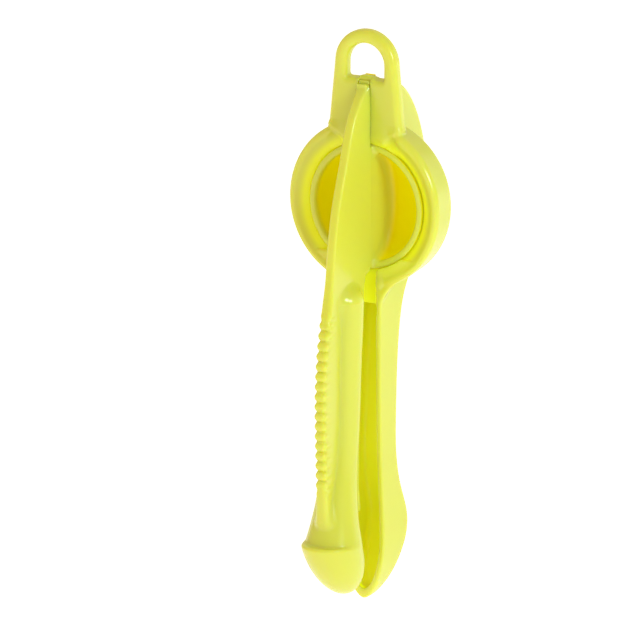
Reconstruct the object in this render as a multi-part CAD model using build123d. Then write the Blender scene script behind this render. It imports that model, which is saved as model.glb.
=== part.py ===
"""Hand-held citrus squeezer: a cup arm and a press arm, joined by a hook that turns on a bar.

Both arms are single plastic mouldings. Each is built here as named regions that meet face to face.
Shapes are laid out about the cup's centre, with X across, Y from the tang's front face to the back
and Z up, then moved so that the origin is the loop's inner crown, where a hook carries the tool.
"""

from build123d import *
import os

os.makedirs("parts", exist_ok=True)

# Hanging loop and tang: one flat plate above the cup
PLATE_T = 5.6
LOOP_R = 12.7
LOOP_INNER_R = 7.6
LOOP_CENTRE_Z = 52.3
TANG_TOP_Z = 46.7
TANG_FOOT_HALF = 15.0
TANG_SHOULDER_Z = 29.5
LOOP_CROWN_Z = LOOP_CENTRE_Z + LOOP_INNER_R

# Hinge: a bar across the tang's slot, and the hook that turns on it
HINGE_Y = PLATE_T / 2
HINGE_Z = 46.6
BAR_R = 1.2
BAR_HALF = 3.6
HOOK_RUN = 0.07
HOOK_T = 1.6
SLOT_HALF = 2.65
SLOT_FLOOR_Z = 43.2
MOUTH_FROM_DEG = 5.0
BRIDGE_FOOT = 0.6
MOUTH_TO_DEG = 215.0
SWING_ROOM = 0.4

# Cup: collar and bowl, turned about the Y axis
COLLAR_R = 31.0
CREST_R = 29.6
CREST_Y = -1.5
COLLAR_WALL_Y = 11.0
COLLAR_FOOT_Y = 13.0
BOWL_R = 26.1
BOWL_LIP_Y = 1.0
BOWL_INNER_R = 23.9
BOWL_INNER_LIP_Y = 2.6
SEAT_R = 22.75
SEAT_Y = 3.3
CUP_FLOOR_Y = 24.0
CUP_WALL = 2.2
DRAIN_R = 1.9
DRAIN_COLUMN_X = 10.8
DRAIN_ROWS = 5
DRAIN_PITCH = 7.0

# Spine, neck and channel handle of the cup arm
SPINE_HALF = 7.2
SPINE_TOP_Z = 46.0
SPINE_MID_Y = 35.0
NECK_TOP_Z = -31.2
NECK_FOOT_Z = -46.0
NECK_FLARE_HALF = 15.2
NECK_PLATE_T = 5.0
NOTCH_HALF = 5.2
NOTCH_FLOOR_Y = 1.4
CHANNEL_TOP_Z = -36.0
HANDLE_SPLIT_Z = -118.0
HANDLE_WALL = 2.0
HANDLE_END_HALF = 8.7
HANDLE_END_Z = -146.6

# Press arm: fin, bowl and handle
FIN_T = 4.3
FIN_GAP = 0.3
FIN_FOOT_Z = -34.0
FIN_NECK_Y = -3.2
PRESS_R = 23.2
PRESS_WALL = 2.4
PRESS_RIM_Y = 1.2
PRESS_WALL_Y = 3.6
PRESS_FLOOR_Y = 14.5
FLANGE_FOOT_Y = 2.9
FLANGE_PROUD = 1.1
CORE_NOSE_Z = -32.5
CORE_FOOT_Z = -105.0
RIB_FOOT_Z = -113.0
RIDGE_COUNT = 17
RIDGE_PITCH = 3.68
VALLEY_TOP_Z = -35.7
VALLEY_R = 0.9
LEDGE_Z = -119.8
BULB_R = 10.6
BULB_HALF_LENGTH = 22.6
BULB_Y = -22.6
BULB_Z = -121.5
BULB_LEAN_DEG = 33.0

FAR = 200.0
TO_HOOK = Pos(0, -PLATE_T / 2, -LOOP_CROWN_Z)


def side_slab(outline, half):
    """A closed outline in Y and Z, thickened evenly to both sides of the middle plane."""
    return extrude(Plane.YZ * make_face(outline), amount=half, both=True)


def front_slab(outline, y_low, y_high):
    """A closed outline in X and Z, carried from y_low back to y_high."""
    face = Plane((0, y_high, 0), x_dir=(1, 0, 0), z_dir=(0, -1, 0)) * make_face(outline)
    return extrude(face, amount=y_high - y_low)


def block(x_half, y_low, y_high, z_low, z_high):
    """A box that is even about the middle plane."""
    size = (2 * x_half, y_high - y_low, z_high - z_low)
    return Pos(0, (y_low + y_high) / 2, (z_low + z_high) / 2) * Box(*size)


def cross_bar(radius, half, y, z):
    """A round bar along X."""
    return Pos(0, y, z) * Rot(0, 90, 0) * Cylinder(radius, 2 * half)


def turned(outline):
    """A closed outline in radius and depth, turned about the cup's axis."""
    return revolve(make_face(outline), Axis.Y)


def cup_axis_rod(radius, y_low, y_high):
    """A round rod on the cup's axis."""
    return Pos(0, (y_low + y_high) / 2, 0) * Rot(90, 0, 0) * Cylinder(radius, y_high - y_low)


def hang_loop():
    """The arch above the tang, with straight legs."""
    outer = Pos(0, LOOP_CENTRE_Z) * Circle(LOOP_R)
    inner = Pos(0, LOOP_CENTRE_Z) * Circle(LOOP_INNER_R)
    leg_mid = (TANG_TOP_Z + LOOP_CENTRE_Z) / 2
    leg_height = LOOP_CENTRE_Z - TANG_TOP_Z
    outer += Pos(0, leg_mid) * Rectangle(2 * LOOP_R, leg_height)
    inner += Pos(0, leg_mid) * Rectangle(2 * LOOP_INNER_R, leg_height)
    above = Pos(0, TANG_TOP_Z + FAR / 2) * Rectangle(FAR, FAR)
    ring = (outer - inner) & above
    return extrude(Plane((0, PLATE_T, 0), x_dir=(1, 0, 0), z_dir=(0, -1, 0)) * ring, amount=PLATE_T)


def hinge_bar():
    """The bridge across the slot's top: the bar the hook turns on, thickened above and behind."""
    top = block(BAR_HALF, HINGE_Y, PLATE_T, HINGE_Z + BRIDGE_FOOT, HINGE_Z + BAR_R)
    return cross_bar(BAR_R, BAR_HALF, HINGE_Y, HINGE_Z) + top


def tang_block():
    """The tang's full plate, down to the cup's groove."""
    outline = Polyline(
        (-LOOP_R, TANG_TOP_Z),
        (LOOP_R, TANG_TOP_Z),
        (TANG_FOOT_HALF, TANG_SHOULDER_Z),
        (TANG_FOOT_HALF, 0),
        (-TANG_FOOT_HALF, 0),
        (-TANG_FOOT_HALF, TANG_SHOULDER_Z),
        (-LOOP_R, TANG_TOP_Z),
    )
    return front_slab(outline, 0, PLATE_T) - cup_axis_rod(BOWL_R, -FAR, FAR)


def hinge_tang():
    """The plate under the loop, slotted for the hook."""
    slot = block(SLOT_HALF, -1, PLATE_T + 1, SLOT_FLOOR_Z, TANG_TOP_Z + 1)
    return tang_block() - slot - hinge_bar()


def cup_collar():
    """The funnel rim round the cup, notched at its foot for the press arm."""
    outline = Polyline(
        (BOWL_R, BOWL_LIP_Y),
        (CREST_R - 0.5, CREST_Y),
        (CREST_R + 0.4, CREST_Y),
        (COLLAR_R, CREST_Y + 1.6),
        (COLLAR_R, COLLAR_WALL_Y),
        (BOWL_R + 1.0, COLLAR_FOOT_Y),
        (BOWL_R, COLLAR_FOOT_Y),
        (BOWL_R, BOWL_LIP_Y),
    )
    notch = block(NOTCH_HALF, -FAR, NOTCH_FLOOR_Y, -FAR, 0)
    above_tang = block(TANG_FOOT_HALF, -FAR, PLATE_T, 0, FAR)
    return turned(outline) - notch - above_tang


def domed_block(radius, front_y, wall_y, floor_y):
    """A solid turned about the cup's axis: a straight wall, closed behind by a spherical cap."""
    sag = floor_y - wall_y
    sphere_r = (radius**2 + sag**2) / (2 * sag)
    half_way = (radius / 2, floor_y - sphere_r + (sphere_r**2 - radius**2 / 4) ** 0.5)
    arc = ThreePointArc((radius, wall_y), half_way, (0, floor_y))
    return turned(arc + Polyline((0, floor_y), (0, front_y), (radius, front_y), (radius, wall_y)))


def drain_holes():
    """Straight holes through the cup's floor on each side of the spine."""
    hole = Rot(90, 0, 0) * Cylinder(DRAIN_R, CUP_FLOOR_Y)
    heights = [(row - (DRAIN_ROWS - 1) / 2) * DRAIN_PITCH for row in range(DRAIN_ROWS)]
    return [Pos(x, CUP_FLOOR_Y, z) * hole for z in heights for x in (-DRAIN_COLUMN_X, DRAIN_COLUMN_X)]


def cup_lip_cone():
    """The space in front of the lip's funnel slope."""
    slope = (BOWL_INNER_LIP_Y - BOWL_LIP_Y) / (BOWL_R - BOWL_INNER_R)
    axis_y = BOWL_INNER_LIP_Y + slope * BOWL_INNER_R
    far_y = axis_y - slope * FAR
    return turned(Polyline((0, axis_y), (FAR, far_y), (0, far_y), (0, axis_y)))


def cup_shell():
    """The whole cup that holds half a lemon, with its drain holes."""
    outer = domed_block(BOWL_R, BOWL_LIP_Y, COLLAR_WALL_Y, CUP_FLOOR_Y + CUP_WALL)
    inner = domed_block(SEAT_R, -1, COLLAR_WALL_Y, CUP_FLOOR_Y)
    inner += cup_axis_rod(BOWL_INNER_R, -1, SEAT_Y)
    notch = block(NOTCH_HALF, -FAR, NOTCH_FLOOR_Y, -FAR, 0)
    shell = outer - inner - cup_lip_cone() - notch
    for hole in drain_holes():
        shell -= hole
    return shell


def cup_wall():
    """The cup's straight front part, with the funnel slope of its lip."""
    return cup_shell() & block(FAR, -FAR, COLLAR_WALL_Y, -FAR, FAR)


def cup_floor():
    """The cup's domed and drilled back part."""
    return cup_shell() & block(FAR, COLLAR_WALL_Y, FAR, -FAR, FAR)


def back_line(step_in):
    """The arm's back edge in Y and Z, from the spine's widest point to the handle's tip."""
    return Spline(
        (SPINE_MID_Y - step_in, 0),
        (30.5 - step_in, -18.0),
        (18.0 - step_in, -34.0),
        (14.4 - step_in, -50.0),
        (12.2 - step_in, -79.0),
        (14.2 - step_in, -106.0),
        (18.3 - step_in, -119.5),
        (15.2 - step_in, -130.5),
        (10.2 - step_in, -139.5),
        (3.6, HANDLE_END_Z + step_in * 1.3),
        tangents=[(0, -1), (-1.0, -0.4)],
    )


def back_slab(half, step_in=0.0):
    """The spine, neck and handle seen from the side, as one thick plate."""
    top = Spline(
        (PLATE_T, SPINE_TOP_Z),
        (16.4, 42.4),
        (26.6, 31.3),
        (32.2, 18.2),
        (SPINE_MID_Y - step_in, 0),
        tangents=[(1, -0.15), (0, -1)],
    )
    back = back_line(step_in)
    front = Polyline(back @ 1, (0, (back @ 1).Y), (0, SPINE_TOP_Z), (top @ 0))
    return side_slab(top + back + front, half)


def handle_front(half, tip_z, z_top):
    """The handle seen from the front: nearly straight sides and a round tip."""
    widen = HANDLE_END_HALF - SPINE_HALF
    right = Spline(
        (half, z_top),
        (half, -70.0),
        (half + 0.45 * widen, -100.0),
        (half + widen, -123.0),
        (half + widen - 1.5, -134.0 - 0.2 * (HANDLE_END_Z - tip_z)),
        (0, tip_z),
        tangents=[(0, -1), (-1, 0)],
    )
    left = mirror(right, Plane.YZ)
    return front_slab(right + left + Line((-half, z_top), (half, z_top)), -1, FAR / 4)


def channel_space():
    """The hollow of the channel handle, open to the front."""
    side = back_slab(FAR, HANDLE_WALL)
    side += block(FAR, -2, 1, HANDLE_END_Z + HANDLE_WALL + 0.6, CHANNEL_TOP_Z)
    front = handle_front(SPINE_HALF - HANDLE_WALL, HANDLE_END_Z + HANDLE_WALL + 0.6, CHANNEL_TOP_Z)
    front += block(SPINE_HALF - HANDLE_WALL, -2, 0, -100, CHANNEL_TOP_Z)
    return side & front


def arm_back():
    """Spine, neck and handle together, hollowed by the channel."""
    outer = back_slab(FAR / 4) & handle_front(SPINE_HALF, HANDLE_END_Z, SPINE_TOP_Z)
    return outer - channel_space()


def cup_spine():
    """The deep fin behind the cup and the tang."""
    spine = arm_back() & block(FAR, -1, FAR, NECK_TOP_Z, FAR)
    spine -= block(FAR, -FAR, PLATE_T, 0, FAR)
    spine -= turned(
        Polyline(
            (0, -FAR),
            (COLLAR_R, -FAR),
            (COLLAR_R, COLLAR_WALL_Y),
            (BOWL_R + 1.0, COLLAR_FOOT_Y),
            (0, COLLAR_FOOT_Y),
            (0, -FAR),
        )
    )
    spine -= domed_block(BOWL_R, 0, COLLAR_WALL_Y, CUP_FLOOR_Y + CUP_WALL)
    hook_sweep = BAR_R + HOOK_RUN + HOOK_T + SWING_ROOM
    return spine - neck_flare() - cross_bar(hook_sweep, SLOT_HALF, HINGE_Y, HINGE_Z)


def neck_flare():
    """Concave cheeks that carry the neck's front out to the collar."""
    curve = Spline(
        (NECK_FLARE_HALF, -26.5),
        (10.2, -34.6),
        (SPINE_HALF, NECK_FOOT_Z),
        tangents=[(-0.45, -1), (-0.05, -1)],
    )
    edge = Polyline(curve @ 1, (-SPINE_HALF, NECK_FOOT_Z))
    top = Polyline((-NECK_FLARE_HALF, -26.5), (NECK_FLARE_HALF, -26.5))
    return front_slab(curve + edge + mirror(curve, Plane.YZ) + top, 0, NECK_PLATE_T)


def neck():
    """The join between the collar and the handle, with the notch's floor in front."""
    solid = (arm_back() & block(FAR, -1, FAR, NECK_FOOT_Z, NECK_TOP_Z)) + neck_flare()
    solid -= cup_axis_rod(COLLAR_R, -FAR, COLLAR_WALL_Y)
    solid -= block(NOTCH_HALF, -1, NOTCH_FLOOR_Y, NECK_FOOT_Z - 1, 0)
    return solid - channel_space()


def handle_channel():
    """The long open-fronted handle."""
    return arm_back() & block(FAR, -1, FAR, HANDLE_SPLIT_Z, NECK_FOOT_Z)


def handle_end():
    """The handle's wider closed end."""
    return arm_back() & block(FAR, -1, FAR, HANDLE_END_Z - 1, HANDLE_SPLIT_Z)


def arm_front_line():
    """The press arm's front edge in Y and Z, from the tip to the flare."""
    return Spline(
        (-FIN_GAP, 45.6),
        (-5.7, 39.0),
        (-10.2, 32.0),
        (-14.3, 20.5),
        (-19.4, 6.8),
        (-23.3, -10.0),
        (-25.8, -26.7),
        (-29.2, -41.0),
        (-31.6, -56.0),
        (-31.9, -80.0),
        (-29.9, -100.0),
        (-28.4, RIB_FOOT_Z),
    )


def fin_slab(half):
    """The fin and rib seen from the side, back to the tang's face and the handle core's middle."""
    front = arm_front_line()
    rear = Polyline(
        front @ 1,
        (-17.0, RIB_FOOT_Z),
        (-13.5, FIN_FOOT_Z),
        (-6.4, FIN_FOOT_Z),
        (FIN_NECK_Y, FIN_FOOT_Z + 5),
        (FIN_NECK_Y, -24.3),
        (PRESS_RIM_Y, -PRESS_R + 1.2),
        (PRESS_FLOOR_Y + 2, -14.0),
        (PRESS_FLOOR_Y + 2, 14.0),
        (PRESS_RIM_Y, PRESS_R - 1.2),
        (-FIN_GAP, BOWL_INNER_R),
        (-FIN_GAP, 45.6),
    )
    return side_slab(front + rear, half)


def press_hollow():
    """The hollow of the press bowl, up to its rim."""
    return domed_block(PRESS_R - PRESS_WALL, PRESS_RIM_Y, PRESS_WALL_Y, PRESS_FLOOR_Y)


def press_bowl():
    """The nested bowl that pushes the fruit, open to the front."""
    body_r = PRESS_R - FLANGE_PROUD
    outer = domed_block(body_r, PRESS_RIM_Y, PRESS_WALL_Y, PRESS_FLOOR_Y + PRESS_WALL)
    return outer + cup_axis_rod(PRESS_R, PRESS_RIM_Y, FLANGE_FOOT_Y) - press_hollow()


def polar(radius, degrees):
    """A point at a radius and an angle, turned from the back (+Y) towards the top (+Z)."""
    point = Vector(radius, 0).rotate(Axis.Z, degrees)
    return (point.X, point.Y)


def hinge_hook():
    """The curl that passes under the bar and up behind it, open at the front and top."""
    reach = BAR_R + HOOK_RUN + HOOK_T
    steps = 4  # straight runs round the mouth's wedge, outside the curl
    turn = (MOUTH_TO_DEG - MOUTH_FROM_DEG) / steps
    rim = [polar(2 * reach, MOUTH_FROM_DEG + turn * step) for step in range(steps + 1)]
    mouth = Pos(HINGE_Y, HINGE_Z) * make_face(Polyline((0, 0), *rim, (0, 0)))
    curl = cross_bar(reach, FIN_T / 2, HINGE_Y, HINGE_Z)
    curl -= extrude(Plane.YZ * mouth, amount=FIN_T, both=True)
    root = block(FIN_T / 2, -FIN_GAP, HINGE_Y, HINGE_Z - reach, HINGE_Z - BAR_R - HOOK_RUN)
    return curl + root - cross_bar(BAR_R + HOOK_RUN, FIN_T, HINGE_Y, HINGE_Z)


def handle_core():
    """The round bar of the press handle, with a rounded nose."""
    stations = ((CORE_NOSE_Z, -13.2, 6.9), (-78.0, -14.9, 6.5), (CORE_FOOT_Z, -19.0, 7.7))
    bar = loft([Pos(0, y, z) * Circle(r) for z, y, r in stations])
    z, y, r = stations[0]
    nose = (Pos(0, y, z) * scale(Sphere(r), by=(1, 1, 0.87))) & block(r, y - r, y + r, z, z + r)
    return bar + nose


def press_fin():
    """The thin fin that carries the press bowl and divides its hollow."""
    fin = fin_slab(FIN_T / 2) & block(FIN_T, -FAR, FAR, FIN_FOOT_Z, FAR)
    behind_hollow = block(FIN_T, PRESS_RIM_Y, FAR, -FAR, FAR)
    behind_hollow -= press_hollow()
    return fin - behind_hollow - handle_core()


def front_edge_y(z):
    """Depth of the press arm's front edge at a height, by halving along the edge."""
    line = arm_front_line()
    above, below = 0.0, 1.0
    for _ in range(24):
        middle = (above + below) / 2
        if (line @ middle).Y > z:
            above = middle
        else:
            below = middle
    return (line @ above).X


def grip_rib():
    """The rib down the handle's front, with round valleys between its grip ridges."""
    rib = fin_slab(FIN_T / 2) & block(FIN_T, -FAR, FAR, RIB_FOOT_Z - 1, FIN_FOOT_Z)
    for step in range(RIDGE_COUNT + 1):
        z = VALLEY_TOP_Z - step * RIDGE_PITCH
        rib -= cross_bar(VALLEY_R, FIN_T, front_edge_y(z), z)
    return rib - handle_core() - handle_flare()


def handle_flare():
    """The cone that widens the handle core to the bulb."""
    stations = ((CORE_FOOT_Z, -19.0, 7.7), (-112.0, -20.2, 8.7), (LEDGE_Z, -21.3, 10.3))
    return loft([Pos(0, y, z) * Circle(r) for z, y, r in stations])


def handle_bulb():
    """The rounded end, leaning back towards the other handle."""
    egg = scale(Sphere(1), by=(BULB_R, BULB_R, BULB_HALF_LENGTH))
    egg = Pos(0, BULB_Y, BULB_Z) * Rot(BULB_LEAN_DEG, 0, 0) * egg
    return egg & block(FAR, -FAR, FAR, -FAR, LEDGE_Z)


NODES = {
    "hang_loop": hang_loop,
    "hinge_tang": hinge_tang,
    "hinge_bar": hinge_bar,
    "cup_collar": cup_collar,
    "cup_wall": cup_wall,
    "cup_floor": cup_floor,
    "cup_spine": cup_spine,
    "neck": neck,
    "handle_channel": handle_channel,
    "handle_end": handle_end,
    "hinge_hook": hinge_hook,
    "press_fin": press_fin,
    "press_bowl": press_bowl,
    "press_handle_core": handle_core,
    "grip_rib": grip_rib,
    "press_handle_flare": handle_flare,
    "press_handle_bulb": handle_bulb,
}

for name, make in NODES.items():
    export_step(TO_HOOK * make(), f"parts/{name}.step")
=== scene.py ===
"""Citrus squeezer in glossy yellow plastic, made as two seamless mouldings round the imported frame.

Each moulding is a distance field: round bars, slabs and turned shapes joined and cut with rounded
edges. The field is negative inside the plastic. A net of points is laid over its zero surface,
settled on it exactly, and given the field's own directions as normals.
Fields are written in millimetres about the cup's centre: X across, Y from the tang's front face to
the back, Z up. Meshes are moved from there into the frame, in metres.
"""

import math

import bpy
import numpy as np
from mathutils import Matrix, Vector


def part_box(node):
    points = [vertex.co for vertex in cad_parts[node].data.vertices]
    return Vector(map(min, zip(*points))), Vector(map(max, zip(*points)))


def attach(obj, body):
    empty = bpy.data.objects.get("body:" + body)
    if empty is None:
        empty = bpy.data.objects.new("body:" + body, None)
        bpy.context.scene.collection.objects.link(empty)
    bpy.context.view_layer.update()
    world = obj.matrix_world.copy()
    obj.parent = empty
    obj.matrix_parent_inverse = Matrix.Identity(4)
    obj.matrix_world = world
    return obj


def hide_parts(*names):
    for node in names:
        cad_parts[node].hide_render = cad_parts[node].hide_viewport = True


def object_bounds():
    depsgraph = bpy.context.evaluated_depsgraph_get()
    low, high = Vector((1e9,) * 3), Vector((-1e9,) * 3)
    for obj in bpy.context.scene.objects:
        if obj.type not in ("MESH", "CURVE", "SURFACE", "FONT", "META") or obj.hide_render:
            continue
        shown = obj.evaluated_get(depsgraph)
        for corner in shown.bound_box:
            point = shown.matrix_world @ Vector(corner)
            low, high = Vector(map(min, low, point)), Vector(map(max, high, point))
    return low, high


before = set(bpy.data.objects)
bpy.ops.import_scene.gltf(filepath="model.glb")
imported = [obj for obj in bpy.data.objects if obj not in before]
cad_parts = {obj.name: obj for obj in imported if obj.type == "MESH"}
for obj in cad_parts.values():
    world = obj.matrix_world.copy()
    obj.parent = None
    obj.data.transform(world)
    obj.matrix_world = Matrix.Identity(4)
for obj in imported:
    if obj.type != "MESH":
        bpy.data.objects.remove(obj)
CAD_LOW, CAD_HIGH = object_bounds()

MM = 0.001
COLLAR_LOW, COLLAR_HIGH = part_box("cup_collar")
TANG_LOW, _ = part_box("hinge_tang")
CUP_CENTRE = Vector((0, TANG_LOW.y, (COLLAR_LOW.z + COLLAR_HIGH.z) / 2))

# Hanging loop and tang
PLATE_T = 5.6
PLATE_EDGE_R = 2.2
LOOP_R = 12.7
LOOP_INNER_R = 7.6
LOOP_CENTRE_Z = 52.3
EYE_CORNER_R = 0.9
TANG_TOP_Z = 46.7
TANG_FOOT_HALF = 15.0
TANG_SHOULDER_Z = 29.5
TANG_TURN_IN = 1.4
PLATE_FOOT_Z = 18

# Hinge
HINGE_Y = PLATE_T / 2
HINGE_Z = 46.6
BAR_R = 1.2
BAR_HALF = 2.6
HUMP_HALF = 4.4
HUMP_TOP_HALF = 1.8
HOOK_RUN = 0.07
HOOK_T = 1.6
HOOK_ROOT = 1.5
SLOT_HALF = 2.4
SLOT_FLOOR_Z = 43.2
BRIDGE_FOOT = 0.6
MOUTH_FROM_DEG = 5.0
MOUTH_TO_DEG = 215.0
SWING_ROOM = 0.4

# Collar and cup, turned about the Y axis
COLLAR_R = 30.95
CREST_R = 29.6
CREST_Y = -1.5
COLLAR_WALL_Y = 12.5
COLLAR_DRAFT = 0.1
COLLAR_LIFT = 0.8
COLLAR_ROLL_R = 3.0
COLLAR_FOOT_R = 27.2
COLLAR_FOOT_Y = 14.5
BOWL_R = 26.1
BOWL_INNER_R = 23.36
BOWL_INNER_LIP_Y = 2.6
CUP_FLOOR_Y = 24.0
SEAT_R = 22.3
SEAT_Y = 3.05
CUP_WALL = 2.2
DRAIN_R = 1.9
DRAIN_COLUMN_X = 10.8
DRAIN_ROWS = 5
DRAIN_PITCH = 7.0

# Spine, neck and channel handle
SPINE_HALF = 7.2
SPINE_TOP_Z = 46.0
SPINE_MID_Y = 35.0
SPINE_POWER = 1.95
BACK_R = 1.2
NOTCH_HALF = 5.2
NOTCH_FLOOR_Y = 1.4
CHANNEL_TOP_Z = -36.0
CHEEK_R = 9.0
CHEEK_TOP_Z = -18
CHEEK_FOOT_Z = -52
CHEEK_INSET = 0.4
HANDLE_WALL = 2.0
HANDLE_END_HALF = 8.7
HANDLE_TURN_Z = -124.0
HANDLE_END_Z = -146.6
TIP_POWER = 1.8
TIP_WALL_SHARE = 1.75

# Press arm
FIN_T = 4.3
FIN_EDGE_T = 3.4
FIN_ROOT_T = 6.4
FIN_GAP = 0.15
FIN_TOP_Z = 46
PRESS_R = 23.2
PRESS_WALL = 2.4
PRESS_RIM_Y = 1.2
PRESS_FLOOR_Y = 14.5
FLANGE_FOOT_Y = 2.9
FLANGE_PROUD = 1.1
PAN_POWER = 2.2
CORE_NOSE_Z = -32.5
CORE_NOSE_R = 6.9
RIB_FOOT_Z = -112.8
RIDGE_COUNT = 17
RIDGE_PITCH = 3.68
RIDGE_TOP_Z = -36.4
RIDGE_FOOT_Z = RIDGE_TOP_Z - RIDGE_COUNT * RIDGE_PITCH
RIDGE_EASE = 2.4
RIDGE_DEEP = 1.15
RIDGE_SIDE = 0.28
RIDGE_WRAP = 6.0
LEDGE_Z = -119.8
BULB_R = 10.6
BULB_HALF_LENGTH = 22.6
BULB_Y = -22.7
BULB_Z = -121.5
BULB_LEAN = math.radians(33.0)


# ---------------------------------------------------------------- curves and rounded joins

class Edge:
    """A smooth edge through (z, value) points: a natural cubic spline, level past its ends."""

    def __init__(self, *points):
        self.z, self.v = np.array(sorted(points), float).T
        h = np.diff(self.z)
        n = len(self.z)
        system = np.eye(n)
        right = np.zeros(n)
        slope = np.diff(self.v) / h
        for i in range(1, n - 1):
            system[i, i - 1 : i + 2] = h[i - 1], 2 * (h[i - 1] + h[i]), h[i]
            right[i] = 6 * (slope[i] - slope[i - 1])
        self.bend = np.linalg.solve(system, right)

    def __call__(self, z):
        z = np.clip(z, self.z[0], self.z[-1])
        i = np.clip(np.searchsorted(self.z, z) - 1, 0, len(self.z) - 2)
        h = self.z[i + 1] - self.z[i]
        a = (self.z[i + 1] - z) / h
        b = 1 - a
        curved = ((a**3 - a) * self.bend[i] + (b**3 - b) * self.bend[i + 1]) * h**2 / 6
        return a * self.v[i] + b * self.v[i + 1] + curved

    def squeeze(self, z):
        """What a sideways distance is multiplied by, where the edge slopes."""
        step = 0.05
        slope = (self(z + step) - self(z - step)) / (2 * step)
        return 1 / np.sqrt(1 + slope**2)


def join(a, b, r):
    """Both shapes, with a fillet of radius r where they meet."""
    return np.maximum(r, np.minimum(a, b)) - np.hypot(np.maximum(r - a, 0), np.maximum(r - b, 0))


def both(a, b, r):
    """What lies inside both shapes, with its new edges rounded to radius r."""
    return np.minimum(-r, np.maximum(a, b)) + np.hypot(np.maximum(r + a, 0), np.maximum(r + b, 0))


def cut(a, b, r):
    """The first shape less the second, with the cut's edges rounded to radius r."""
    return both(a, -b, r)


def fade(low, high, v):
    """From 0 at low to 1 at high, easing in and out."""
    t = np.clip((v - low) / (high - low), 0, 1)
    return t * t * (3 - 2 * t)


def oval(u, v, a, b, power=2.0):
    """Distance to an oval with half-widths a and b, or to a squarer or leaner one by its power."""
    pu = np.abs(u / a) + 1e-6
    pv = np.abs(v / b) + 1e-6
    q = (pu**power + pv**power) ** (1 / power)
    steep = np.hypot((pu / q) ** (power - 1) / a, (pv / q) ** (power - 1) / b)
    return (q - 1) / steep


def pan(rho, y, radius, front_y, floor_y):
    """A shape turned about the cup's axis: a bowl with steep sides and a rounded floor."""
    behind = oval(rho, y - front_y, radius, floor_y - front_y, PAN_POWER)
    return np.where(y > front_y, behind, rho - radius)


def dome(rho, y, radius, front_y, floor_y):
    """A shape turned about the cup's axis: a straight wall that a spherical cap closes behind."""
    sag = floor_y - front_y
    sphere_r = (radius**2 + sag**2) / (2 * sag)
    cap = np.hypot(rho, np.maximum(y - (floor_y - sphere_r), 0)) - sphere_r
    return np.maximum(rho - radius, cap)


# ---------------------------------------------------------------- the cup arm's field

BACK = Edge(
    (0, SPINE_MID_Y), (-9, 33.9), (-18, 30.5), (-26, 24.5), (-34, 18.7), (-42, 15.8),
    (-50, 14.4), (-79, 12.2), (-106, 14.2), (-119.5, 18.3), (-130.5, 15.2), (-139.5, 10.2),
    (HANDLE_END_Z, 4.2),
)
HANDLE_HALF = Edge(
    (-30, SPINE_HALF), (-70, SPINE_HALF), (-100, 7.9), (-118, 8.62),
    (HANDLE_TURN_Z, HANDLE_END_HALF),
)


def plate_field(x, y, z):
    """The loop and the tang, as one flat plate with well rounded edges."""
    shoulder = (LOOP_CENTRE_Z - z) / (LOOP_CENTRE_Z - TANG_SHOULDER_Z)
    half = LOOP_R + (TANG_FOOT_HALF - LOOP_R) * np.clip(shoulder, 0, 1)
    half = half - TANG_TURN_IN * np.maximum(TANG_SHOULDER_Z - 0.5 - z, 0)
    over = np.maximum(z - LOOP_CENTRE_Z, 0)
    outer = np.where(z > LOOP_CENTRE_Z, np.hypot(x, over) - LOOP_R, np.abs(x) - half)
    hole = np.where(z > LOOP_CENTRE_Z, np.hypot(x, over) - LOOP_INNER_R, np.abs(x) - LOOP_INNER_R)
    hump = (BAR_R - TANG_TOP_Z + HINGE_Z) * fade(HUMP_HALF, HUMP_TOP_HALF, np.abs(x))
    hole = both(hole, TANG_TOP_Z + hump - z, EYE_CORNER_R)
    outline = both(np.maximum(outer, -hole), BOWL_INNER_R + 1.4 - np.hypot(x, z), 0.6)
    outline = np.maximum(outline, PLATE_FOOT_Z - z)
    return both(outline, np.abs(y - PLATE_T / 2) - PLATE_T / 2, PLATE_EDGE_R)


def back_field(y, z, inset=0.0):
    """Everything in front of the arm's back line."""
    above = oval(y - PLATE_T, z, SPINE_MID_Y - PLATE_T, SPINE_TOP_Z, SPINE_POWER)
    below = (y - BACK(z)) * BACK.squeeze(z)
    return np.where(z > 0, above, below) + inset


def handle_outline(x, z, inset=0.0):
    """The spine and handle seen from the front: nearly straight sides and a round tip."""
    sides = np.abs(x) - HANDLE_HALF(z) + inset
    reach = HANDLE_TURN_Z - HANDLE_END_Z - TIP_WALL_SHARE * inset
    tip = oval(x, z - HANDLE_TURN_Z, HANDLE_END_HALF - inset, reach, TIP_POWER)
    return np.where(z > HANDLE_TURN_Z, sides, tip)


def collar_front(x, y, z, rho):
    """Behind the funnel slope and the crest, which fade out under the tang's flat face."""
    slope = (BOWL_INNER_LIP_Y - CREST_Y) / (CREST_R - BOWL_INNER_R)
    funnel = (BOWL_INNER_LIP_Y - slope * (rho - BOWL_INNER_R) - y) / math.hypot(1, slope)
    lip = both(funnel, CREST_Y - y, 1.0)
    shown = np.where(z > 0, fade(9.5, 15.5, np.abs(x)), 1.0)
    return shown * lip + (1 - shown) * (1.2 - y)


def collar_wall(x, y, z):
    """The collar's outer side, lifted a little and with a slight draft."""
    return np.hypot(x, z - COLLAR_LIFT) - COLLAR_R + COLLAR_DRAFT * np.maximum(y, 0)


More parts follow.
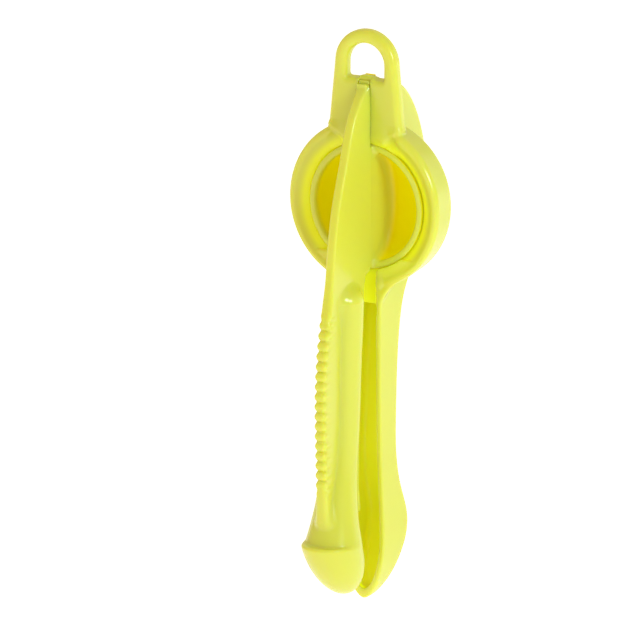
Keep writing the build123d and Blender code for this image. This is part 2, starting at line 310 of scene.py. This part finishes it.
def cup_field(x, y, z, rho):
    """The collar's ring and the cup's outer dome, filled."""
    taper = np.array([COLLAR_FOOT_Y - COLLAR_WALL_Y, COLLAR_R - COLLAR_FOOT_R])
    taper = taper / np.hypot(*taper)
    wall = collar_wall(x, y, z)
    ring = both(wall, wall * taper[0] + (y - COLLAR_WALL_Y) * taper[1], 1.5)
    ring = both(ring, y - COLLAR_FOOT_Y, 0.8)
    ring = both(ring, collar_front(x, y, z, rho), COLLAR_ROLL_R)
    bowl = dome(rho, y, BOWL_R, COLLAR_WALL_Y, CUP_FLOOR_Y + CUP_WALL)
    return join(ring, np.maximum(bowl, COLLAR_WALL_Y - 2 - y), 1.2)


def cheeks_field(x, y, z):
    """Concave cheeks that carry the neck's front out to the collar, fading towards the back."""
    r = CHEEK_R * (1 - 0.8 * fade(0, 12, y))
    web = join(np.abs(x) - SPINE_HALF, collar_wall(x, y, z), r) + CHEEK_INSET
    web = np.maximum(web, z - CHEEK_TOP_Z)
    web = np.maximum(web, CHEEK_FOOT_Z - z)
    return both(web, np.maximum(-y, y - COLLAR_WALL_Y), 0.9)


def drains_field(x, y, z):
    """The cup's drain holes, behind its straight wall."""
    reach = (DRAIN_ROWS - 1) / 2
    nearest_z = np.clip(np.round(z / DRAIN_PITCH), -reach, reach) * DRAIN_PITCH
    holes = np.hypot(np.abs(x) - DRAIN_COLUMN_X, z - nearest_z) - DRAIN_R
    return np.maximum(holes, COLLAR_WALL_Y + 1 - y)


def cup_arm_field(x, y, z):
    """The whole cup arm."""
    rho = np.hypot(x, z)
    arm = both(handle_outline(x, z), back_field(y, z), BACK_R)
    arm = both(arm, np.where(z > 0, 4.0, 0.0) - y, 0.7)
    solid = join(cup_field(x, y, z, rho), arm, 2.0)
    solid = join(solid, cheeks_field(x, y, z), 0.4)
    solid = join(solid, plate_field(x, y, z), 3.0)

    inner_cup = dome(rho, y, SEAT_R, COLLAR_WALL_Y, CUP_FLOOR_Y)
    solid = cut(solid, inner_cup, 0.3)
    solid = cut(solid, both(rho - BOWL_INNER_R, y - SEAT_Y, 0.4), 0.5)
    solid = cut(solid, drains_field(x, y, z), 0.4)

    notch = both(np.abs(x) - NOTCH_HALF, y - NOTCH_FLOOR_Y, 1.2)
    notch = np.maximum(notch, np.maximum(z, CHANNEL_TOP_Z - 3 - z))
    solid = cut(solid, notch, 1.2)
    channel = both(handle_outline(x, z, HANDLE_WALL), back_field(y, z, HANDLE_WALL), 1.8)
    channel = both(channel, z - CHANNEL_TOP_Z, 0.9)
    solid = cut(solid, channel, 0.6)

    around = np.hypot(y - HINGE_Y, z - HINGE_Z)
    slot = np.maximum(np.maximum(SLOT_FLOOR_Z - z, z - HINGE_Z - 4), y - PLATE_T - 0.5)
    slot = np.minimum(slot, around - (BAR_R + HOOK_RUN + HOOK_T + SWING_ROOM))
    slot = np.maximum(slot, -np.maximum(HINGE_Y - y, HINGE_Z + BRIDGE_FOOT - z))
    solid = cut(solid, both(np.abs(x) - SLOT_HALF, slot, 0.3), 0.3)
    bar = np.maximum(around - BAR_R, np.abs(x) - BAR_HALF)
    return join(solid, bar, 0.3)


# ---------------------------------------------------------------- the press arm's field

FRONT = Edge(
    (45.6, -FIN_GAP), (39, -5.7), (32, -10.2), (20.5, -14.3), (6.8, -19.4), (-10, -23.3),
    (-26.7, -25.8), (-41, -29.2), (-56, -31.6), (-80, -31.9), (-96, -31.2), (-106, -30.8),
    (RIB_FOOT_Z, -30.4),
)
CORE_MIDDLE = Edge(
    (-20, -13.1), (-37, -13.3), (-52, -13.9), (-78, -15.1), (-105, -19.1), (-112, -20.3),
    (LEDGE_Z, -21.4),
)
CORE_RADIUS = Edge(
    (-20, 6.9), (-37, 6.8), (-52, 6.5), (-78, 6.3), (-98, 6.9), (-105, 7.6), (-112, 8.6),
    (LEDGE_Z, 10.3),
)


def ridge_wave(z):
    """The grip's profile: 1 on the crown of each ridge, 0 in the narrow valleys and beyond."""
    turn = (RIDGE_TOP_Z - z) / RIDGE_PITCH
    across = 2 * np.abs(turn - np.floor(turn) - 0.5)
    crown = np.sqrt(np.maximum(1 - across**2, 0))
    return np.where((turn > 0) & (turn < RIDGE_COUNT), crown, 1.0)


def ridges_shown(z):
    """Where the grip ridges are, easing in and out at both ends."""
    return fade(RIDGE_TOP_Z + 3, RIDGE_TOP_Z, z) * fade(RIDGE_FOOT_Z - 3, RIDGE_FOOT_Z + 1, z)


def fin_field(x, y, z):
    """The fin above and the ridged rib below, along one curved front edge."""
    valley = (1 - ridge_wave(z)) * fade(RIDGE_FOOT_Z, RIDGE_FOOT_Z + RIDGE_EASE, z)
    valley = valley * fade(RIDGE_TOP_Z, RIDGE_TOP_Z - RIDGE_EASE, z)
    edge = FRONT(z) + RIDGE_DEEP * valley
    from_edge = (edge - y) * FRONT.squeeze(z)
    root_share = np.clip((y - FRONT(z)) / np.maximum(-FRONT(z), 0.5), 0, 1)
    blade = (FIN_EDGE_T + (FIN_ROOT_T - FIN_EDGE_T) * root_share) / 2
    tongue = 0.7 * fade(-102, -112, z)
    behind = fade(RIDGE_WRAP, 0.4, y - FRONT(z))
    turn = 2 * np.pi * (RIDGE_TOP_Z - z) / RIDGE_PITCH
    ripple = RIDGE_SIDE * behind * ridges_shown(z) * np.cos(turn)
    rib = FIN_T / 2 + tongue - ripple
    in_rib = fade(-23, -31, z)
    half = (1 - in_rib) * blade + in_rib * rib
    edge_r = 0.75 + 0.6 * in_rib + 0.5 * fade(-102, -110, z)
    slab = both(np.abs(x) - half, from_edge, edge_r)
    rear = y + FIN_GAP + 2.9 * fade(-22.8, -24.8, z) + 3.3 * fade(-33, -44, z)
    slab = both(slab, np.minimum(rear, bowl_outside(x, y, z) + 0.6), 0.5)
    return both(np.maximum(slab, z - FIN_TOP_Z), RIB_FOOT_Z - z, 2.2)


def core_field(x, y, z):
    """The round bar of the handle with its rounded nose, and the flare above the ledge."""
    off = y - CORE_MIDDLE(z)
    bar = np.hypot(x, off) - CORE_RADIUS(z)
    bar = bar * CORE_RADIUS.squeeze(z)
    up = np.maximum(z - CORE_NOSE_Z, 0) * 1.15
    nose = np.sqrt(x**2 + off**2 + up**2) - CORE_NOSE_R
    return np.maximum(np.where(z > CORE_NOSE_Z, nose, bar), LEDGE_Z - 2 - z)


def bulb_field(x, y, z):
    """The egg at the handle's end, cut square at the ledge."""
    dy = y - BULB_Y
    dz = z - BULB_Z
    across = math.cos(BULB_LEAN) * dy + math.sin(BULB_LEAN) * dz
    along = math.cos(BULB_LEAN) * dz - math.sin(BULB_LEAN) * dy
    egg = oval(np.hypot(x, across), along, BULB_R, BULB_HALF_LENGTH)
    return both(egg, z - LEDGE_Z, 1.5)


def bowl_outside(x, y, z):
    """The press bowl's outer surface, with a flange at its rim and no front."""
    rho = np.hypot(x, z)
    depth = PRESS_FLOOR_Y + PRESS_WALL
    flange = np.maximum(rho - PRESS_R, y - FLANGE_FOOT_Y)
    return np.minimum(pan(rho, y, PRESS_R - FLANGE_PROUD, PRESS_RIM_Y, depth), flange)


def press_bowl_field(x, y, z):
    """The nested bowl, open to the front."""
    inner = pan(np.hypot(x, z), y, PRESS_R - PRESS_WALL, PRESS_RIM_Y, PRESS_FLOOR_Y)
    return cut(both(bowl_outside(x, y, z), PRESS_RIM_Y - y, 0.6), inner, 1.0)


def hook_field(x, y, z):
    """The curl that passes under the bar and up behind it."""
    u = y - HINGE_Y
    v = z - HINGE_Z
    around = np.hypot(u, v)
    reach = BAR_R + HOOK_RUN + HOOK_T
    ring = np.maximum(around - reach, BAR_R + HOOK_RUN - around)
    first = math.radians(MOUTH_FROM_DEG)
    last = math.radians(MOUTH_TO_DEG)
    mouth = -np.minimum(
        math.cos(first) * v - math.sin(first) * u, math.sin(last) * u - math.cos(last) * v
    )
    curl = both(ring, -mouth, 0.4)
    level = np.maximum(v + BAR_R + HOOK_RUN, -reach - v)
    root = np.maximum(level, np.maximum(u, -FIN_GAP - HOOK_ROOT - y))
    return both(np.minimum(curl, root), np.abs(x) - FIN_T / 2, 0.35)


def press_arm_field(x, y, z):
    """The whole press arm."""
    softness = 0.7 + 1.6 * fade(-42, -30, z) + 1.6 * fade(-102, -112, z)
    arm = join(fin_field(x, y, z), core_field(x, y, z), softness)
    arm = join(arm, bulb_field(x, y, z), 0.7)
    inside_bowl = fade(23, 20, np.hypot(x, z)) * fade(-1, 3, y)
    arm = join(arm, press_bowl_field(x, y, z), 1.0 + 2.6 * inside_bowl)
    return join(arm, hook_field(x, y, z), 0.3)


# ---------------------------------------------------------------- from a field to a mesh

def slope_of(field, points, reach=0.08):
    """The direction in which the field rises fastest at each point."""
    rise = np.empty_like(points)
    for axis in range(3):
        step = np.zeros(3)
        step[axis] = reach
        rise[:, axis] = field(*(points + step).T) - field(*(points - step).T)
    return rise / (2 * reach)


def settle(field, points, rounds, limit):
    """Moves points onto the field's zero surface, a limited way in each round."""
    for _ in range(rounds):
        rise = slope_of(field, points)
        length = np.maximum(np.linalg.norm(rise, axis=1), 0.3)
        move = np.clip(field(*points.T) / length, -limit, limit)
        points = points - rise * (move / length)[:, None]
    return points


def net(field, low, high, step):
    """Points and four-sided faces of a net laid over the field's zero surface."""
    axes = [np.arange(a - step, b + 2 * step, step) for a, b in zip(low, high)]
    values = field(*np.ix_(*axes))
    inside = values < 0
    n = inside.shape
    count = np.zeros([k - 1 for k in n], np.int8)
    corners = [(i, j, k) for i in (0, 1) for j in (0, 1) for k in (0, 1)]
    for c in corners:
        count += inside[tuple(slice(o, k - 1 + o) for o, k in zip(c, n))]
    cells = np.argwhere((count > 0) & (count < 8))
    number = np.full(count.shape, -1)
    number[tuple(cells.T)] = np.arange(len(cells))

    total = np.zeros((len(cells), 3))
    crossings = np.zeros(len(cells))
    for axis in range(3):
        for c in corners:
            if c[axis]:
                continue
            end = list(c)
            end[axis] = 1
            v0 = values[tuple((cells + c).T)]
            v1 = values[tuple((cells + end).T)]
            crosses = (v0 < 0) != (v1 < 0)
            part = np.where(crosses, v0 / np.where(crosses, v0 - v1, 1), 0)
            place = np.tile(np.array(c, float), (len(cells), 1))
            place[:, axis] += part
            total += place * crosses[:, None]
            crossings += crosses
    starts = np.array([a[0] for a in axes])
    points = starts + (cells + total / crossings[:, None]) * step

    faces = []
    for axis in range(3):
        b, c = (axis + 1) % 3, (axis + 2) % 3
        far = [slice(1, None)] * 3
        near = list(far)
        near[axis] = slice(None, -1)
        changes = np.argwhere(inside[tuple(near)] != inside[tuple(far)])
        grid = changes + 1
        grid[:, axis] -= 1
        across = grid[:, [b, c]]
        grid = grid[np.all((across > 0) & (across < np.array(count.shape)[[b, c]]), axis=1)]
        back_b = np.zeros(3, int)
        back_c = np.zeros(3, int)
        back_b[b] = 1
        back_c[c] = 1
        ring = [grid, grid - back_b, grid - back_b - back_c, grid - back_c]
        quad = np.stack([number[tuple(g.T)] for g in ring], axis=1)
        outward = inside[tuple(grid.T)]
        quad = np.where(outward[:, None], quad, quad[:, ::-1])
        faces.append(quad)
    return points, np.concatenate(faces)


def relax(points, faces, share):
    """Draws each point towards the middle of its neighbours, to even out the net."""
    total = np.zeros_like(points)
    count = np.zeros(len(points))
    for a in range(4):
        for b in (faces[:, (a + 1) % 4], faces[:, (a + 3) % 4]):
            np.add.at(total, faces[:, a], points[b])
            np.add.at(count, faces[:, a], 1)
    return points + share * (total / count[:, None] - points)


# ---------------------------------------------------------------- which places are recessed, and get painted light and shade

# How strongly painted light and shade are laid into each kind of recess.
FUNNEL_SHARE = 0.6
NOTCH_SHARE = 0.7
CHANNEL_SHARE = 0.45
RIM_SIDE_SHARE = 0.9


def cup_arm_painted_share(points, normals):
    """How much painted light and shade each point of the cup arm gets, by how recessed it is: the
    funnel, the notch and the channel.
    """
    x, y, z = points.T
    rho = np.hypot(x, z)
    facing = fade(0.6, 0.2, normals[:, 1])
    in_cup = fade(1.2, 0.5, dome(rho, y, SEAT_R, COLLAR_WALL_Y, CUP_FLOOR_Y))
    in_cup = np.maximum(in_cup, fade(6, 4, y))
    funnel = fade(CREST_R, BOWL_INNER_R + 1, rho) * fade(-0.8, 1.5, y) * in_cup
    notch = fade(NOTCH_HALF + 0.8, NOTCH_HALF, np.abs(x)) * fade(-22, -25, z)
    notch = notch * fade(0.3, 1.2, y) * fade(NOTCH_FLOOR_Y + 1.4, NOTCH_FLOOR_Y + 0.6, y)
    channel = fade(0.3, -0.1, handle_outline(x, z, HANDLE_WALL)) * fade(0.2, 2.5, y)
    channel = channel * fade(0.9, 0.4, back_field(y, z, HANDLE_WALL))
    channel = channel * fade(CHANNEL_TOP_Z + 1, CHANNEL_TOP_Z, z)
    channel = channel * fade(HANDLE_END_Z + 2, HANDLE_END_Z + 6, z)
    deepest = np.maximum(FUNNEL_SHARE * funnel, NOTCH_SHARE * notch)
    return facing * np.maximum(deepest, CHANNEL_SHARE * channel)


def press_arm_painted_share(points, normals):
    """How much painted shade and glow each point of the press arm gets, by how recessed it is: the
    bowl's floor, and the rim's outer side.
    """
    x, y, z = points.T
    rho = np.hypot(x, z)
    aside = fade(2.9, 6.0, np.abs(x))
    facing = fade(0.6, 0.2, normals[:, 1])
    inside = fade(PRESS_R - 0.8, PRESS_R - 2.2, rho) * fade(1.4, 4.2, y) * facing
    rim_side = fade(PRESS_R - 0.4, PRESS_R - 0.1, rho) * fade(1.3, 2.0, y)
    return np.maximum(aside * inside, RIM_SIDE_SHARE * rim_side)


# ---------------------------------------------------------------- a moulding as an object

def moulding(name, field, low, high, step, painted_share):
    """A smooth mesh of the field's surface, in the frame, with its recesses marked for painted light
    and shade.
    """
    points, faces = net(field, low, high, step)
    points = settle(field, points, 2, 0.3 * step)
    points = relax(points, faces, 0.5)
    points = settle(field, points, 4, 0.3 * step)
    normals = slope_of(field, points)
    normals /= np.maximum(np.linalg.norm(normals, axis=1), 1e-6)[:, None]
    mesh = bpy.data.meshes.new(name)
    mesh.from_pydata(points.tolist(), [], faces.tolist())
    mesh.polygons.foreach_set("use_smooth", np.ones(len(faces), bool))
    # Painted light and shade: each point's share of the hollow colour, the glow and the lost
    # reflection.
    painted_light_and_shade = mesh.attributes.new("painted_light_and_shade", "FLOAT", "POINT")
    painted_light_and_shade.data.foreach_set("value", painted_share(points, normals).astype(np.float32))
    mesh.transform(Matrix.Translation(CUP_CENTRE) @ Matrix.Scale(MM, 4))
    mesh.normals_split_custom_set_from_vertices(normals.tolist())
    piece = bpy.data.objects.new(name, mesh)
    bpy.context.scene.collection.objects.link(piece)
    print(name, len(points), "points", len(faces), "faces")
    return piece


# ---------------------------------------------------------------- plastic

# The two lemons are the plastic's own colour, mottled at random. The gold is painted shade for the
# press bowl's hollow and the gap at its rim. The lime is painted light for the cup arm's recesses,
# where light comes through the thin walls.
LEMON = (0.665, 0.68, 0.08)
LEMON_DEEP = (0.645, 0.66, 0.07)
PAINTED_SHADE_GOLD = (0.88, 0.71, 0.0)
PAINTED_GLOW_LIME = (0.94, 1.0, 0.0)
# Painted glow: emission that stands in for light coming through a thin wall.
PAINTED_GLOW = 0.13  # emission in the recesses, for the light that comes through a thin wall


def yellow_plastic(name, painted_hollow_colour):
    """Glossy lemon plastic, faintly mottled and not quite flat, with painted light and shade in the
    hollows: a painted tint, a faint painted glow and less reflection there.
    """
    material = bpy.data.materials.new(name)
    material.use_nodes = True
    nodes = material.node_tree.nodes
    link = material.node_tree.links.new
    shader = nodes["Principled BSDF"]
    place = nodes.new("ShaderNodeTexCoord").outputs["Object"]

    def noise(scale, detail):
        node = nodes.new("ShaderNodeTexNoise")
        node.inputs["Scale"].default_value = scale
        node.inputs["Detail"].default_value = detail
        link(place, node.inputs["Vector"])
        return node.outputs["Fac"]

    def spread(value, low, high):
        node = nodes.new("ShaderNodeMapRange")
        node.inputs["To Min"].default_value = low
        node.inputs["To Max"].default_value = high
        link(value, node.inputs["Value"])
        return node.outputs["Result"]

    def blend(share, first, second):
        node = nodes.new("ShaderNodeMix")
        node.data_type = "RGBA"
        link(share, node.inputs["Factor"])
        for socket, colour in (("A", first), ("B", second)):
            target = [s for s in node.inputs if s.name == socket and s.type == "RGBA"][0]
            if isinstance(colour, tuple):
                target.default_value = (*colour, 1)
            else:
                link(colour, target)
        return [s for s in node.outputs if s.type == "RGBA"][0]

    painted_light_and_shade = nodes.new("ShaderNodeAttribute")
    painted_light_and_shade.attribute_name = "painted_light_and_shade"
    mottled = blend(spread(noise(45, 3), 0, 1), LEMON, LEMON_DEEP)
    # Painted light and shade: the base colour turns to the hollow colour in the recesses.
    colour = blend(spread(painted_light_and_shade.outputs["Fac"], 0, 1), mottled, painted_hollow_colour)
    link(colour, shader.inputs["Base Color"])
    # Painted glow: the hollow colour, given off faintly in the recesses.
    shader.inputs["Emission Color"].default_value = (*painted_hollow_colour, 1)
    link(spread(painted_light_and_shade.outputs["Fac"], 0, PAINTED_GLOW), shader.inputs["Emission Strength"])
    # Painted shade: reflections fade out in the recesses.
    link(spread(painted_light_and_shade.outputs["Fac"], 0.55, 0.05), shader.inputs["Specular IOR Level"])
    link(spread(noise(60, 2), 0.17, 0.23), shader.inputs["Roughness"])
    bump = nodes.new("ShaderNodeBump")
    bump.inputs["Strength"].default_value = 0.06
    bump.inputs["Distance"].default_value = 0.00015
    link(noise(260, 2), bump.inputs["Height"])
    link(bump.outputs["Normal"], shader.inputs["Normal"])
    shader.inputs["IOR"].default_value = 1.5
    shader.inputs["Subsurface Weight"].default_value = 0.7
    shader.inputs["Subsurface Radius"].default_value = (1.0, 0.7, 0.12)
    shader.inputs["Subsurface Scale"].default_value = 0.007
    return material


# ---------------------------------------------------------------- the two arms

CUP_STEP = 0.62
PRESS_STEP = CUP_STEP * 0.76

cup_arm = moulding(
    "cup_arm_moulding", cup_arm_field,
    (-31.4, -1.7, -146.8), (31.4, 35.2, 65.3), CUP_STEP, cup_arm_painted_share,
)
cup_arm.data.materials.append(yellow_plastic("yellow_plastic_cup", PAINTED_GLOW_LIME))
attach(cup_arm, "cup_arm")
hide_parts("hang_loop", "hinge_tang", "hinge_bar", "cup_collar", "cup_wall", "cup_floor")
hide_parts("cup_spine", "neck", "handle_channel", "handle_end")

press_arm = moulding(
    "press_arm_moulding", press_arm_field,
    (-23.4, -35.4, -142.0), (23.4, 17.2, 48.0), PRESS_STEP, press_arm_painted_share,
)
press_arm.data.materials.append(yellow_plastic("yellow_plastic_press", PAINTED_SHADE_GOLD))
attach(press_arm, "press_arm")
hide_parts("hinge_hook", "press_fin", "press_bowl", "press_handle_core", "grip_rib")
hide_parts("press_handle_flare", "press_handle_bulb")


# ---------------------------------------------------------------- floor, light and camera

FLOOR_DROP = 0.03
FLOOR_HALF = 6.0
VIEW_AZIMUTH = math.radians(30.0)
VIEW_ELEVATION = math.radians(14.5)
VIEW_WIDTH = 228.2 * MM
AIM_LEFT = 16.7 * MM
AIM_DOWN = 39.8 * MM
LENS_MM = 600.0
SENSOR_MM = 36.0


def studio():
    """A wide pale floor under the hanging squeezer, and an even warm surround."""
    floor_z = CAD_LOW.z - FLOOR_DROP
    square = ((-1, -1), (1, -1), (1, 1), (-1, 1))
    corners = [(FLOOR_HALF * x, FLOOR_HALF * y, floor_z) for x, y in square]
    mesh = bpy.data.meshes.new("floor")
    mesh.from_pydata(corners, [], [(0, 1, 2, 3)])
    floor = bpy.data.objects.new("floor", mesh)
    bpy.context.scene.collection.objects.link(floor)
    pale = bpy.data.materials.new("pale_floor")
    pale.use_nodes = True
    shader = pale.node_tree.nodes["Principled BSDF"]
    shader.inputs["Base Color"].default_value = (0.9, 0.9, 0.9, 1)
    shader.inputs["Emission Color"].default_value = (1, 1, 1, 1)
    shader.inputs["Emission Strength"].default_value = 0.55
    shader.inputs["Roughness"].default_value = 0.9
    mesh.materials.append(pale)

    world = bpy.data.worlds.new("surround")
    world.use_nodes = True
    background = world.node_tree.nodes["Background"]
    background.inputs["Color"].default_value = (1.0, 0.88, 0.7, 1)
    background.inputs["Strength"].default_value = 0.72
    bpy.context.scene.world = world


def softbox(name, direction, distance, width, power, colour):
    """A square soft light that faces the squeezer's middle."""
    middle = (CAD_LOW + CAD_HIGH) / 2
    data = bpy.data.lights.new(name, "AREA")
    data.shape = "SQUARE"
    data.size = width
    data.energy = power
    data.color = colour
    light = bpy.data.objects.new(name, data)
    outward = Vector(direction).normalized()
    light.location = middle + outward * distance
    light.rotation_mode = "QUATERNION"
    light.rotation_quaternion = outward.to_track_quat("Z", "Y")
    light.visible_camera = False
    bpy.context.scene.collection.objects.link(light)


def camera():
    """A long lens that looks down a little from the front right."""
    right = Vector((math.cos(VIEW_AZIMUTH), math.sin(VIEW_AZIMUTH), 0))
    level = math.cos(VIEW_ELEVATION)
    back = Vector((right.y * level, -right.x * level, math.sin(VIEW_ELEVATION)))
    up = back.cross(right)
    aim = CUP_CENTRE - right * AIM_LEFT - up * AIM_DOWN
    data = bpy.data.cameras.new("camera")
    data.sensor_width = SENSOR_MM
    data.lens = LENS_MM
    distance = VIEW_WIDTH * LENS_MM / SENSOR_MM
    lens = bpy.data.objects.new("camera", data)
    lens.location = aim + back * distance
    lens.rotation_mode = "QUATERNION"
    lens.rotation_quaternion = back.to_track_quat("Z", "Y")
    data.clip_start = 0.05
    data.clip_end = 50.0
    bpy.context.scene.collection.objects.link(lens)
    bpy.context.scene.camera = lens


studio()
softbox("key", (0.80, -0.36, 0.42), 0.9, 0.22, 2.7, (0.68, 1.0, 0.9))
softbox("rim", (0.5, 0.83, 0.05), 0.8, 0.6, 0.5, (0.8, 1.0, 1.0))
camera()
bpy.context.scene.view_settings.view_transform = "Standard"
